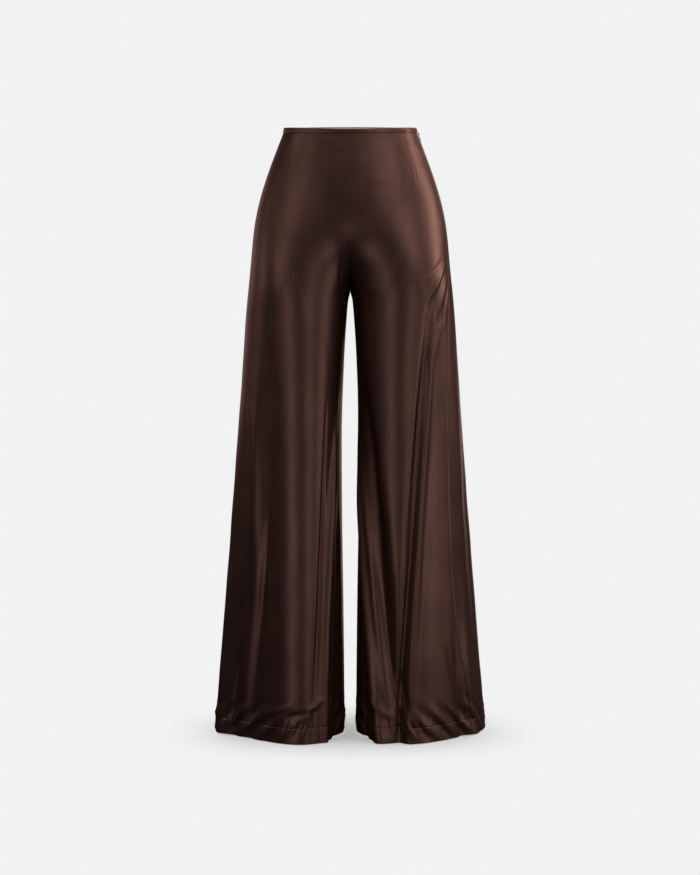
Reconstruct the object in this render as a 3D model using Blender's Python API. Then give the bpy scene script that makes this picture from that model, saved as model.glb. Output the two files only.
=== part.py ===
"""Wide-leg satin trousers, filled out as worn, with nobody in them.

Metres, +Z up. The origin is the middle of the waist, at the height of its sides. The front faces -Y, and
+X is the wearer's left. Every piece of cloth is a wall on one smooth form: a body part above the crotch
and a tube for each leg below it. The form is read from two short tables of sections, and the folds from a third.

A place on the cloth is an angle and a height. The angle runs round one half of the garment: 0 is the centre
front, or the inseam below the crotch, 180 the outer side, and 360 the centre back, or the inseam again.
"""

import math
from collections import namedtuple

import bmesh
import bpy
import numpy as np
from mathutils import Matrix, Vector

# ---- Driving dimensions -------------------------------------------------------------------------------

HEM_HEIGHT = -1.128  # the hem at the outer side, below the waist
CROTCH_HEIGHT = -0.304
WAIST_TILT = 0.0145  # the waist is this much lower at the centre front and higher at the centre back
TILT_REACH = 0.25  # below this depth the rows of cloth are level again
HEM_DIP = 0.006  # the front of the hem hangs this much lower than its back
HEM_DIP_REACH = 0.30

CLOTH = 0.0015  # wall thickness
GAP = 0.0003  # between pieces, at seams and between layers

RISE_CURVE_TOP = -0.185  # where the centre seams start to curve under the body
RISE_CURVE = 1.5  # 1 is a straight slope to the crotch, 2 a quarter ellipse
THIGH_TOP = -0.140  # where the body starts to part into two legs
THIGH_BOTTOM = -0.370  # where the legs have their own round form
CENTRE_REACH = math.radians(60)  # how far round from the centre seams their curve is followed
THIGH_FULLNESS = 0.13  # half parted, the form is this much deeper than halfway between body and legs
BODY_SQUARENESS = -0.012
SLOPE_STEP = 1e-4  # the step, in radians and metres, that slopes are read over

BINDING_DEPTH = 0.008  # the narrow bound edge of the waist
BINDING_CLOTH = 0.0010
HEM_DEPTH = 0.030  # the turned-up hem
HEM_CLOTH = 0.0012

FRONT_COLUMNS = 28
BACK_COLUMNS = 20
DART_COLUMN = {"front": 16, "back": 10}  # of the panel's columns, counted from the centre
DART_LENGTH = 0.120
DART_RIDGE = 0.0022  # how far the dart's crease stands out of the round form
DART_SPREAD = 0.024
BODY_ROWS = 8
CURVE_ROWS = 7
LEG_ROWS = 15
INSEAM_START_ROWS = (0.008, 0.024, 0.048)  # depths below the crotch, where the legs part quickly

ZIP_TOP = -0.0145
ZIP_LENGTH = 0.230
ZIP_TAPE_WIDTH = 0.024
ZIP_TAPE_CLOTH = 0.0008
ZIP_TAPE_DEPTH = CLOTH + 0.0007  # under the panels' outer faces
ZIP_TAPE_ROWS = 12
MOUTH_BOTTOM = -0.0135  # the side seam stands open round the slider, from the binding to here
MOUTH_WIDTH = 0.0026
SLIDER_ROW = -0.0112
SLIDER_WIDTH = 0.0055
BRIDGE_WIDTH = 0.0016  # the arch on the slider's outer side, which holds the pull
BRIDGE_HALF_LENGTH = 0.0022
BRIDGE_OPENING = 0.0015
BRIDGE_TOP = 0.0030
BRIDGE_UNDERSIDE = 0.0022
SLIDER_DEPTH = (-0.0056, -0.0036)  # its body, inside the cloth
SLIDER_SPAN = (-0.0060, 0.0026)
PULL_PIVOT = 0.00145  # how far the pull's bar lies out of the cloth
PULL_GAUGE = 0.0009

CHOCOLATE_SATIN = (0.045, 0.021, 0.017, 1.0)
DARK_METAL = (0.08, 0.05, 0.04, 1.0)

# ---- The form: sections, seams and folds ---------------------------------------------------------------

Body = namedtuple("Body", "height half_width front_depth back_depth")
BODY = [
    Body(0.020, 0.1180, 0.0860, 0.0880),
    Body(-0.008, 0.1245, 0.0890, 0.0910),
    Body(-0.038, 0.1360, 0.0950, 0.0980),
    Body(-0.075, 0.1500, 0.1020, 0.1100),
    Body(-0.113, 0.1630, 0.1075, 0.1230),
    Body(-0.150, 0.1730, 0.1110, 0.1330),
    Body(-0.188, 0.1805, 0.1120, 0.1390),
    Body(-0.226, 0.1855, 0.1120, 0.1395),
    Body(-0.304, 0.1915, 0.1100, 0.1350),
    Body(-0.360, 0.1965, 0.1085, 0.1310),
]

# inner, outer: the sides of one leg, from the centre. front_x, back_x: how far its front and back ridges lie
# from the centre. square_in, square_out: positive is pulled in towards a diamond, negative out to a square.
Leg = namedtuple(
    "Leg",
    "height inner outer front_x front_depth back_x back_depth inner_y outer_y square_in square_out",
)
LEG = [
    Leg(-0.100, 0.0000, 0.1600, 0.0900, 0.1090, 0.0850, 0.1190, -0.010, 0.000, 0.00, -0.02),
    Leg(-0.304, 0.0000, 0.1915, 0.0960, 0.1110, 0.0880, 0.1320, -0.010, 0.004, 0.00, 0.00),
    Leg(-0.320, 0.0036, 0.1932, 0.0960, 0.1108, 0.0885, 0.1312, -0.009, 0.004, 0.00, 0.00),
    Leg(-0.357, 0.0070, 0.1965, 0.0950, 0.1100, 0.0890, 0.1300, -0.007, 0.005, 0.00, 0.01),
    Leg(-0.432, 0.0115, 0.2015, 0.0930, 0.1080, 0.0900, 0.1270, -0.003, 0.006, 0.00, 0.02),
    Leg(-0.583, 0.0160, 0.2130, 0.0920, 0.1060, 0.0940, 0.1240, 0.002, 0.008, 0.01, 0.03),
    Leg(-0.733, 0.0152, 0.2245, 0.0920, 0.1070, 0.0980, 0.1230, 0.004, 0.010, 0.02, 0.05),
    Leg(-0.884, 0.0130, 0.2370, 0.0920, 0.1090, 0.1020, 0.1230, 0.005, 0.014, 0.04, 0.07),
    Leg(-1.034, 0.0115, 0.2495, 0.0920, 0.1130, 0.1070, 0.1240, 0.006, 0.018, 0.06, 0.09),
    Leg(-1.145, 0.0110, 0.2600, 0.0920, 0.1160, 0.1100, 0.1260, 0.006, 0.022, 0.08, 0.11),
]

# The side seam's angle on the wearer's right and left leg. It runs forward of the outer side below the hip.
SideSeam = namedtuple("SideSeam", "height right left")
SIDE_SEAM = [
    SideSeam(0.020, 182.0, 184.0),
    SideSeam(-0.100, 170.0, 169.0),
    SideSeam(-0.200, 160.0, 157.0),
    SideSeam(-0.304, 158.0, 153.0),
    SideSeam(-0.420, 153.0, 147.0),
    SideSeam(-0.540, 147.0, 141.0),
    SideSeam(-0.650, 142.0, 139.0),
    SideSeam(-0.790, 138.0, 138.0),
    SideSeam(-0.900, 140.0, 140.0),
    SideSeam(-1.010, 146.0, 146.0),
    SideSeam(-1.145, 152.0, 152.0),
]

# Angles at the fold's top, middle and bottom. width: from its line to where it has sunk to a third, at the
# middle of its length. depth: positive is a ridge, negative a trough. hem: how much of it reaches the hem.
Fold = namedtuple("Fold", "leg start top middle end bottom width depth hem")
FOLDS = [
    # The front of the wearer's right leg, from the inseam outwards.
    Fold("right", -0.620, 27, 29, -1.128, 32, 0.011, -0.0070, 1.0),
    Fold("right", -0.440, 24, 52, -1.128, 62, 0.007, 0.0095, 0.8),
    Fold("right", -0.330, 120, 120, -1.128, 116, 0.026, -0.0050, 0.6),
    Fold("right", -0.420, 138, 136, -0.950, 128, 0.010, 0.0035, 0.0),
    Fold("right", -0.800, 146, 146, -1.128, 147, 0.009, -0.0040, 1.0),
    Fold("right", -0.740, 168, 164, -1.128, 161, 0.014, 0.0080, 1.0),
    # The front of the wearer's left leg.
    Fold("left", -0.700, 24, 27, -1.128, 32, 0.011, -0.0070, 1.0),
    Fold("left", -0.440, 6, 32, -1.128, 68, 0.012, 0.0100, 1.0),
    Fold("left", -0.360, 18, 57, -1.128, 86, 0.020, -0.0150, 0.9),
    Fold("left", -0.270, 125, 102, -1.128, 89, 0.008, -0.0075, 0.8),
    Fold("left", -0.270, 133, 109, -1.128, 97, 0.008, 0.0060, 0.7),
    Fold("left", -0.860, 140, 140, -1.128, 143, 0.009, -0.0060, 1.0),
    Fold("left", -0.780, 154, 152, -1.128, 156, 0.010, 0.0050, 1.0),
    # The outer sides and the backs.
    Fold("right", -0.360, 214, 208, -1.128, 204, 0.022, -0.0080, 0.6),
    Fold("right", -0.280, 246, 240, -1.128, 236, 0.026, 0.0070, 0.6),
    Fold("right", -0.300, 276, 272, -1.128, 268, 0.026, -0.0080, 0.6),
    Fold("right", -0.420, 306, 300, -1.128, 296, 0.022, 0.0070, 0.6),
    Fold("left", -0.440, 172, 168, -1.128, 170, 0.018, -0.0045, 0.6),
    Fold("left", -0.400, 206, 202, -1.128, 200, 0.020, 0.0050, 0.6),
    Fold("left", -0.300, 232, 230, -1.128, 226, 0.026, -0.0085, 0.6),
    Fold("left", -0.280, 262, 262, -1.128, 262, 0.026, 0.0070, 0.6),
    Fold("left", -0.420, 292, 294, -1.128, 292, 0.022, -0.0075, 0.6),
]
FOLD_FADE = 0.30  # a fold grows out of the smooth cloth over this length


def read(table, column, height):
    """The named column at each height, on a smooth curve that never swings past the table's own values."""
    knots = np.array([row.height for row in reversed(table)])
    values = np.array([getattr(row, column) for row in reversed(table)])
    secants = np.diff(values) / np.diff(knots)
    before, after = np.pad(secants, (1, 0), "edge"), np.pad(secants, (0, 1), "edge")
    same_way = before * after > 0
    slopes = np.where(same_way, 2 * before * after / np.where(same_way, before + after, 1.0), 0.0)
    at = np.clip(height, knots[0], knots[-1])
    i = np.clip(np.searchsorted(knots, at) - 1, 0, len(knots) - 2)
    step = knots[i + 1] - knots[i]
    t = (at - knots[i]) / step
    ease = t * t * (3 - 2 * t)
    out = t * (1 - t) ** 2 * step * slopes[i]
    back = t * t * (1 - t) * step * slopes[i + 1]
    return values[i] * (1 - ease) + values[i + 1] * ease + out - back


def ease_in(t):
    """0 below t = 0, 1 above t = 1, and smooth between."""
    t = np.clip(t, 0.0, 1.0)
    return t * t * (3 - 2 * t)


def mix(a, b, share):
    return a + (b - a) * share


def body_section(angle, height):
    """The round of the hips and waist: the angle goes half as fast here, from centre front to centre back."""
    turn = angle / 2
    front = (1 + np.cos(turn)) / 2
    depth = mix(read(BODY, "back_depth", height), read(BODY, "front_depth", height), front)
    round_off = 1 - BODY_SQUARENESS * np.sin(2 * turn) ** 2
    x = read(BODY, "half_width", height) * np.sin(turn) * round_off
    return x, -depth * np.cos(turn) * round_off


def leg_section(angle, height):
    """The closed round of one leg: a skewed ellipse whose front and back ridges lie nearer its inner side."""
    c = {column: read(LEG, column, height) for column in Leg._fields[1:]}
    front = (1 + np.sin(angle)) / 2
    outside = (1 - np.cos(angle)) / 2
    middle = (c["inner"] + c["outer"]) / 2
    half = (c["outer"] - c["inner"]) / 2
    skew = middle - mix(c["back_x"], c["front_x"], front)
    depth = mix(c["back_depth"], c["front_depth"], front)
    round_off = 1 - mix(c["square_in"], c["square_out"], outside) * np.sin(2 * angle) ** 2
    x = middle - half * np.cos(angle) * round_off - skew * np.sin(angle) ** 2
    side_y = mix(c["inner_y"], c["outer_y"], outside)
    return x, side_y * np.cos(angle) ** 2 - depth * np.sin(angle) * round_off


def smooth_form(angle, height):
    """The form with no folds. The body part turns into two legs, soonest on the centre seams' own curve."""
    t = np.clip((RISE_CURVE_TOP - height) / (RISE_CURVE_TOP - CROTCH_HEIGHT), 0.0, 1.0)
    centre = 1 - (1 - t**RISE_CURVE) ** (1 / RISE_CURVE)
    thigh = ease_in((THIGH_TOP - height) / (THIGH_TOP - THIGH_BOTTOM))
    turn = np.mod(angle, 2 * math.pi)
    from_centre = np.minimum(turn, 2 * math.pi - turn)
    parted = mix(centre, thigh, np.sin(np.minimum(from_centre / CENTRE_REACH, 1) * math.pi / 2))
    body_x, body_y = body_section(angle, height)
    leg_x, leg_y = leg_section(angle, height)
    fullness = 1 + THIGH_FULLNESS * 4 * parted * (1 - parted)
    return mix(body_x, leg_x, parted), mix(body_y, leg_y, parted) * fullness


def side_seam(leg, height):
    return np.radians(read(SIDE_SEAM, leg, height))


def dart_angle(leg, height, side):
    """The angle of the panel's dart, which runs down one of its columns."""
    seam = side_seam(leg, height)
    share = DART_COLUMN[side] / {"front": FRONT_COLUMNS, "back": BACK_COLUMNS}[side]
    if side == "front":
        return seam * share
    return 2 * math.pi - (2 * math.pi - seam) * share


def round_speed(angle, height):
    """Metres of cloth for each radian round the form."""
    x0, y0 = smooth_form(angle - SLOPE_STEP, height)
    x1, y1 = smooth_form(angle + SLOPE_STEP, height)
    return np.hypot(x1 - x0, y1 - y0) / (2 * SLOPE_STEP)


def fold_rise(leg, angle, height):
    """How far the folds and darts stand out of the smooth form, or sink into it."""
    rise = np.zeros(np.broadcast(angle, height).shape)
    for fold in FOLDS:
        if fold.leg != leg:
            continue
        t = np.clip((fold.start - height) / (fold.start - fold.end), 0.0, 1.0)
        line = fold.top * (1 - t) * (1 - 2 * t) + fold.middle * 4 * t * (1 - t) + fold.bottom * t * (2 * t - 1)
        line = np.radians(line)
        away = np.mod(angle - line + math.pi, 2 * math.pi) - math.pi
        away = away * round_speed(line, height) / (fold.width * (0.75 + 0.5 * t))
        strength = ease_in((fold.start - height) / FOLD_FADE) * mix(1.0, fold.hem, ease_in(2 * t - 1))
        rise = rise + fold.depth * strength * np.exp(-away * away)
    for side in DART_COLUMN:
        line = dart_angle(leg, height, side)
        away = np.abs(angle - line) * round_speed(line, height) / DART_SPREAD
        rise = rise + DART_RIDGE * ease_in(1 + height / DART_LENGTH) * np.exp(-away)
    return rise


def row_height(angle, row):
    """The height of a row of cloth at this angle: the waist tilts forward, and the hem dips at the front."""
    tilt = WAIST_TILT * np.cos(angle / 2) * np.clip(1 + row / TILT_REACH, 0.0, 1.0) ** 2
    dip = HEM_DIP * (1 + np.sin(angle)) / 2 * ease_in((HEM_HEIGHT + HEM_DIP_REACH - row) / HEM_DIP_REACH)
    return row - tilt - dip


def folded_form(leg, angle, row):
    """A point of the cloth's outer face on the wearer's left half, as three arrays."""
    height = row_height(angle, row)
    x, y = smooth_form(angle, height)
    x0, y0 = smooth_form(angle - SLOPE_STEP, height)
    x1, y1 = smooth_form(angle + SLOPE_STEP, height)
    across = np.hypot(x1 - x0, y1 - y0)
    rise = fold_rise(leg, angle, height)
    return x - (y1 - y0) / across * -rise + GAP / 2, y - (x1 - x0) / across * rise, height


def directions(leg, angle, row):
    """The directions straight out of the cloth and up it. On a centre seam both stay in the middle plane."""
    up = np.array(folded_form(leg, angle, row + SLOPE_STEP)) - folded_form(leg, angle, row - SLOPE_STEP)
    on = np.array(folded_form(leg, angle + SLOPE_STEP, row)) - folded_form(leg, angle - SLOPE_STEP, row)
    out = np.cross(on, up, axis=0)
    turn = np.mod(angle, 2 * math.pi)
    centre = np.minimum(turn, 2 * math.pi - turn) < math.radians(1)
    for way in (out, up):
        way[0] = np.where(centre & (row > CROTCH_HEIGHT + GAP), 0.0, way[0])
    return out / np.linalg.norm(out, axis=0), up / np.linalg.norm(up, axis=0)


def cloth_point(leg, angle, row, out=0.0, rise=0.0):
    """A point moved out of the cloth's outer face and up along it, on the leg's own side of the body."""
    angle = np.asarray(angle, float)
    row = np.asarray(row, float)
    outward, upward = directions(leg, angle, row)
    point = np.array(folded_form(leg, angle, row)) + outward * out + upward * rise
    if leg == "right":
        point[0] = -point[0]
    return point


# ---- Blocks of cloth -------------------------------------------------------------------------------------


def mouth(leg, row):
    """How much of the zip's open mouth there is in the side seam: only the left one has it."""
    return np.where((leg == "left") & (row <= -BINDING_DEPTH) & (row >= MOUTH_BOTTOM), 1.0, 0.0)


def panel_angle(leg, side, share, row):
    """The angle at a share of the panel's width, from its centre seam or inseam to its side seam, less the gaps."""
    height = row_height(math.pi, row)
    seam = side_seam(leg, height)
    clear_side = mix(GAP, MOUTH_WIDTH, mouth(leg, row)) / 2 / round_speed(seam, height)
    clear_inner = np.where(row <= CROTCH_HEIGHT, GAP / 2 / round_speed(0.0, height), 0.0)
    if side == "front":
        return mix(clear_inner, seam - clear_side, share)
    return mix(2 * math.pi - clear_inner, seam + clear_side, share)


def panel_rows():
    """Heights of the panel's rows. They crowd together where the centre seams turn under the body."""
    body = np.linspace(MOUTH_BOTTOM, RISE_CURVE_TOP, BODY_ROWS + 1)[:-1]
    turn = np.linspace(0.0, math.pi / 2, CURVE_ROWS + 1)
    curve = RISE_CURVE_TOP - (RISE_CURVE_TOP - CROTCH_HEIGHT) * np.sin(turn)
    start = CROTCH_HEIGHT - np.array(INSEAM_START_ROWS)
    leg = np.linspace(start[-1], HEM_HEIGHT + HEM_DEPTH, LEG_ROWS + 1)[1:]
    return np.concatenate([[0.0, -BINDING_DEPTH], body, curve, start, leg, [HEM_HEIGHT]])


def block(columns, rows):
    """A flat block of columns by rows faces, one layer deep, whose points have whole-number places.

    Every face is split along the same way, so that cloth lying on cloth keeps its distance.
    """
    bm = bmesh.new()
    bmesh.ops.create_grid(bm, x_segments=columns, y_segments=rows, size=0.5)
    bmesh.ops.translate(bm, verts=bm.verts, vec=(0.5, 0.5, 0))
    bmesh.ops.scale(bm, verts=bm.verts, vec=(columns, rows, 1))
    made = bmesh.ops.extrude_face_region(bm, geom=bm.faces[:])
    layer = [v for v in made["geom"] if isinstance(v, bmesh.types.BMVert)]
    bmesh.ops.translate(bm, verts=layer, vec=(0, 0, 1))
    for face in bm.faces[:]:
        corners = sorted(face.verts, key=lambda v: sum(v.co))
        bmesh.utils.face_split(face, corners[0], corners[-1])
    return bm


def shape_block(bm, place):
    """Moves each point of a block to place(column, row, layer), which works on arrays."""
    grid = np.array([v.co for v in bm.verts]).T
    for vert, point in zip(bm.verts, place(*grid).T):
        vert.co = point
    bmesh.ops.recalc_face_normals(bm, faces=bm.faces)


def finish(name, bm, material):
    mesh = bpy.data.meshes.new(name)
    bmesh.ops.recalc_face_normals(bm, faces=bm.faces)
    bm.to_mesh(mesh)
    bm.free()
    mesh.materials.append(material)
    mesh.shade_smooth()
    mesh.set_sharp_from_angle(angle=math.radians(40))
    obj = bpy.data.objects.new(name, mesh)
    bpy.context.scene.collection.objects.link(obj)
    return obj


def make_material(name, colour, roughness, metallic):
    material = bpy.data.materials.new(name)
    material.use_nodes = True
    shader = material.node_tree.nodes["Principled BSDF"]
    shader.inputs["Base Color"].default_value = colour
    shader.inputs["Roughness"].default_value = roughness
    shader.inputs["Metallic"].default_value = metallic
    return material


def make_panel(side, leg, satin):
    """A front or a back: one wall from the waist to the hem."""
    columns = {"front": FRONT_COLUMNS, "back": BACK_COLUMNS}[side]
    rows = panel_rows()
    bm = block(columns, len(rows) - 1)

    def place(column, row, layer):
        at = rows[np.rint(row).astype(int)]
        return cloth_point(leg, panel_angle(leg, side, column / columns, at), at, out=-CLOTH * layer)

    shape_block(bm, place)
    return finish(f"{side}_{leg}", bm, satin)


def make_hem(side, leg, satin):
    """The hem's allowance, turned up inside the panel."""
    columns = {"front": FRONT_COLUMNS, "back": BACK_COLUMNS}[side]
    bm = block(columns, 1)

    def place(column, row, layer):
        at = HEM_HEIGHT + HEM_DEPTH * (1 - row)
        angle = panel_angle(leg, side, column / columns, at)
        return cloth_point(leg, angle, at, out=-CLOTH - GAP - HEM_CLOTH * layer)

    shape_block(bm, place)
    return finish(f"hem_{side}_{leg}", bm, satin)


def make_binding(side, satin):
    """The waist's bound edge, one strip from side seam to side seam: a U over the panels' top edges."""
    half = {"front": FRONT_COLUMNS, "back": BACK_COLUMNS}[side]
    bm = block(2 * half, 3)

    def place(column, row, layer):
        away = GAP + BINDING_CLOTH * layer
        out = np.where(row < 1.5, away, -CLOTH - away)
        top = (row > 0.5) & (row < 2.5)
        at = np.where(top, 0.0, -BINDING_DEPTH)
        share = np.abs(column - half) / half
        points = {
            leg: cloth_point(leg, panel_angle(leg, side, share, at), at, out, np.where(top, away, 0.0))
            for leg in ("right", "left")
        }
        at = np.where(column < half, points["right"], points["left"])
        at[0] = np.where(np.rint(column) == half, 0.0, at[0])
        return at

    shape_block(bm, place)
    return finish(f"waist_binding_{side}", bm, satin)


def make_zip_tape(cloth):
    """The zip's two tapes as one strip, inside the left side seam."""
    bm = block(4, ZIP_TAPE_ROWS)

    def place(column, row, layer):
        at = ZIP_TOP - ZIP_LENGTH * row / ZIP_TAPE_ROWS
        height = row_height(math.pi, at)
        seam = side_seam("left", height)
        angle = seam + (column / 4 - 0.5) * ZIP_TAPE_WIDTH / round_speed(seam, height)
        return cloth_point("left", angle, at, out=-ZIP_TAPE_DEPTH - ZIP_TAPE_CLOTH * layer)

    shape_block(bm, place)
    return finish("zip_tape", bm, cloth)


def slider_frame():
    """The slider's place in the left side seam: x runs round the waist, y out of the cloth, and z up it."""
    seam = side_seam("left", row_height(math.pi, SLIDER_ROW))
    out, up = (Vector(way) for way in directions("left", seam, SLIDER_ROW))
    frame = Matrix((out.cross(up), out, up)).transposed().to_4x4()
    return Matrix.Translation(cloth_point("left", seam, SLIDER_ROW)) @ frame


def make_zip_slider(metal):
    """A body inside the cloth, and an arch that comes out through the seam's mouth."""
    deep, near = SLIDER_DEPTH
    low, high = SLIDER_SPAN
    end, inside = BRIDGE_HALF_LENGTH, BRIDGE_OPENING
    bm = bmesh.new()
    left = -BRIDGE_WIDTH / 2
    feet = [bm.verts.new((left, near, up)) for up in (end, inside, -inside, -end)]
    arch = [
        bm.verts.new((left, out, up))
        for out, up in [
            (BRIDGE_UNDERSIDE, inside),
            (BRIDGE_UNDERSIDE, -inside),
            (BRIDGE_TOP, -end),
            (BRIDGE_TOP, end),
        ]
    ]
    corners = [bm.verts.new((left, out, up)) for out, up in [(near, high), (near, low), (deep, low), (deep, high)]]
    bm.faces.new([feet[0], feet[1], arch[0], arch[1], feet[2], feet[3], arch[2], arch[3]])
    bm.faces.new([corners[0], *feet, *corners[1:]])
    made = bmesh.ops.extrude_face_region(bm, geom=bm.faces[:])
    moved = [v for v in made["geom"] if isinstance(v, bmesh.types.BMVert)]
    bmesh.ops.translate(bm, verts=moved, vec=(BRIDGE_WIDTH, 0, 0))
    wider = (SLIDER_WIDTH - BRIDGE_WIDTH) / 2
    for side in (-1, 1):
        faces = [
            face
            for face in bm.faces
            if all(abs(v.co.x - side * BRIDGE_WIDTH / 2) < 1e-6 for v in face.verts)
            and face.calc_center_median().y < near
        ]
        made = bmesh.ops.extrude_face_region(bm, geom=faces)
        moved = [v for v in made["geom"] if isinstance(v, bmesh.types.BMVert)]
        bmesh.ops.translate(bm, verts=moved, vec=(side * wider, 0, 0))
        bmesh.ops.delete(bm, geom=faces, context="FACES")
    bmesh.ops.transform(bm, matrix=slider_frame(), verts=bm.verts)
    return finish("zip_slider", bm, metal)


def make_zip_pull(metal):
    """A small tab, with a window at its top that lets the slider's arch through."""
    heights = (0.0005, -0.0005, -0.0040, -0.0065, -0.0100, -0.0130, -0.0150)
    halves = (0.0022, 0.0022, 0.0021, 0.0018, 0.0022, 0.0024, 0.0015)
    window = 0.5
    bm = bmesh.new()
    bmesh.ops.create_grid(bm, x_segments=3, y_segments=6, size=0.5)
    for vert in bm.verts:
        row = round((0.5 - vert.co.y) * 6)
        across = vert.co.x * 2
        half = halves[row]
        x = half * across if abs(across) > 0.9 else half * window * (1 if across > 0 else -1)
        vert.co = (x, PULL_PIVOT - PULL_GAUGE / 2, heights[row])
    hole = [f for f in bm.faces if abs(f.calc_center_median().x) < 1e-5 and -0.004 < f.calc_center_median().z < -0.0005]
    bmesh.ops.delete(bm, geom=hole, context="FACES")
    made = bmesh.ops.extrude_face_region(bm, geom=bm.faces[:])
    moved = [v for v in made["geom"] if isinstance(v, bmesh.types.BMVert)]
    bmesh.ops.translate(bm, verts=moved, vec=(0, PULL_GAUGE, 0))
    bmesh.ops.transform(bm, matrix=slider_frame(), verts=bm.verts)
    return finish("zip_pull", bm, metal)


def main():
    for old in list(bpy.data.objects):
        bpy.data.objects.remove(old)
    satin = make_material("chocolate_satin", CHOCOLATE_SATIN, 0.38, 0.0)
    for leg in ("right", "left"):
        for side in ("front", "back"):
            make_panel(side, leg, satin)
            make_hem(side, leg, satin)
    for side in ("front", "back"):
        make_binding(side, satin)
    make_zip_tape(make_material("zip_tape_cloth", CHOCOLATE_SATIN, 0.8, 0.0))
    metal = make_material("dark_metal", DARK_METAL, 0.35, 1.0)
    make_zip_slider(metal)
    make_zip_pull(metal)


main()
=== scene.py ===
# %% [markdown]
# # Wide-leg satin trousers
#
# This lesson dresses a plain model of a pair of satin trousers. The plain model, the frame, has a thick
# smooth wall for each piece of cloth. Here each wall is replaced by a thin, finely divided sheet on the
# same form, with the small creases, puckers, seams and stitches that make satin look like satin.

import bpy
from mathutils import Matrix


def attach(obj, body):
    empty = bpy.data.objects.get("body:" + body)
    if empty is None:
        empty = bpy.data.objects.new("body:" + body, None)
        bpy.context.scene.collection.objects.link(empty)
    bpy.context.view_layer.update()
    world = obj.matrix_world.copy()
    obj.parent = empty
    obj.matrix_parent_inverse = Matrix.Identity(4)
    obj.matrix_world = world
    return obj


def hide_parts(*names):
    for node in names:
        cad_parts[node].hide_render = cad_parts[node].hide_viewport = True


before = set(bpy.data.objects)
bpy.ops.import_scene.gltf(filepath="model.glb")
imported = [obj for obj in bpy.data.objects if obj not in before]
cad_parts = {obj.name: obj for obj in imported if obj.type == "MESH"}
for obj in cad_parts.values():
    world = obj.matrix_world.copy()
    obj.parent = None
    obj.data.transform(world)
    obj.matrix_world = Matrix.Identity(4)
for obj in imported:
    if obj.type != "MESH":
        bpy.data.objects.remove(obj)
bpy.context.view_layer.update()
print("nodes", sorted(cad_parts))

# %% [markdown]
# ## The form
#
# The frame was made from short tables of sections, seams and folds. The same tables are repeated here, so
# the fine cloth lies where the plain walls lie. It leaves them only at the darts and in the creases and
# ripples that are added below, of which the deepest is 7 mm. `Body` rows are the rounds of the waist and
# hips, `Leg` rows are the rounds of one leg, and a `Fold` is a soft ridge or trough that follows a line
# down the leg.
#
# Every length is in metres. A place on the cloth is an angle and a height. The angle runs round one half
# of the garment: 0 is the centre front, or the inseam below the crotch, 180 the outer side, and 360 the
# centre back, or the inseam again.

# %% Sizes
import math
from collections import namedtuple

import bmesh
import bpy
import numpy as np
from mathutils import Matrix, Vector

HEM_HEIGHT = -1.128  # the hem at the outer side, below the waist
CROTCH_HEIGHT = -0.304
WAIST_TILT = 0.0145  # the waist is this much lower at the centre front and higher at the centre back
TILT_REACH = 0.25  # below this depth the rows of cloth are level again
HEM_DIP = 0.006  # the front of the hem hangs this much lower than its back
HEM_DIP_REACH = 0.30
RISE_CURVE_TOP = -0.185  # where the centre seams start to curve under the body
RISE_CURVE = 1.5  # 1 is a straight slope to the crotch, 2 a quarter ellipse
THIGH_TOP = -0.140  # where the body starts to part into two legs
THIGH_BOTTOM = -0.370  # where the legs have their own round form
THIGH_FULLNESS = 0.13  # half parted, the form is this much deeper than halfway between body and legs
CENTRE_REACH = math.radians(60)
BODY_SQUARENESS = -0.012
SEAM_GAP = 0.00002
SLOPE_STEP = 1e-4
SATIN = 0.0005  # thickness of the cloth modelled here; the frame has 0.0015
BINDING_DEPTH = 0.008  # the narrow bound edge of the waist
HEM_DEPTH = 0.030  # the turned-up hem
ZIP_TOP = -0.0145
ZIP_LENGTH = 0.230
ZIP_TAPE_WIDTH = 0.024
TAPE_SINK = 0.0024  # how far inside the cloth's face the tape lies
COIL_SINK = 0.0034
TAPE_CLOTH = 0.0005
SLIDER_ROW = -0.0112
PULL_PIVOT = 0.00145
DART_SHARE = {"front": 16 / 28, "back": 10 / 20}  # of the panel's width, from its centre seam
DART_LENGTH = 0.120
DART_RIDGE = 0.0036  # how far the dart stands out; the frame has 0.0022
DART_SPREAD = 0.024
print("from the waist to the hem", -HEM_HEIGHT, "m, and to the crotch", -CROTCH_HEIGHT, "m")

# %% Tables of the form
Body = namedtuple("Body", "height half_width front_depth back_depth")
BODY = [
    Body(0.020, 0.1180, 0.0860, 0.0880),
    Body(-0.008, 0.1245, 0.0890, 0.0910),
    Body(-0.038, 0.1360, 0.0950, 0.0980),
    Body(-0.075, 0.1500, 0.1020, 0.1100),
    Body(-0.113, 0.1630, 0.1075, 0.1230),
    Body(-0.150, 0.1730, 0.1110, 0.1330),
    Body(-0.188, 0.1805, 0.1120, 0.1390),
    Body(-0.226, 0.1855, 0.1120, 0.1395),
    Body(-0.304, 0.1915, 0.1100, 0.1350),
    Body(-0.360, 0.1965, 0.1085, 0.1310),
]

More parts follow.
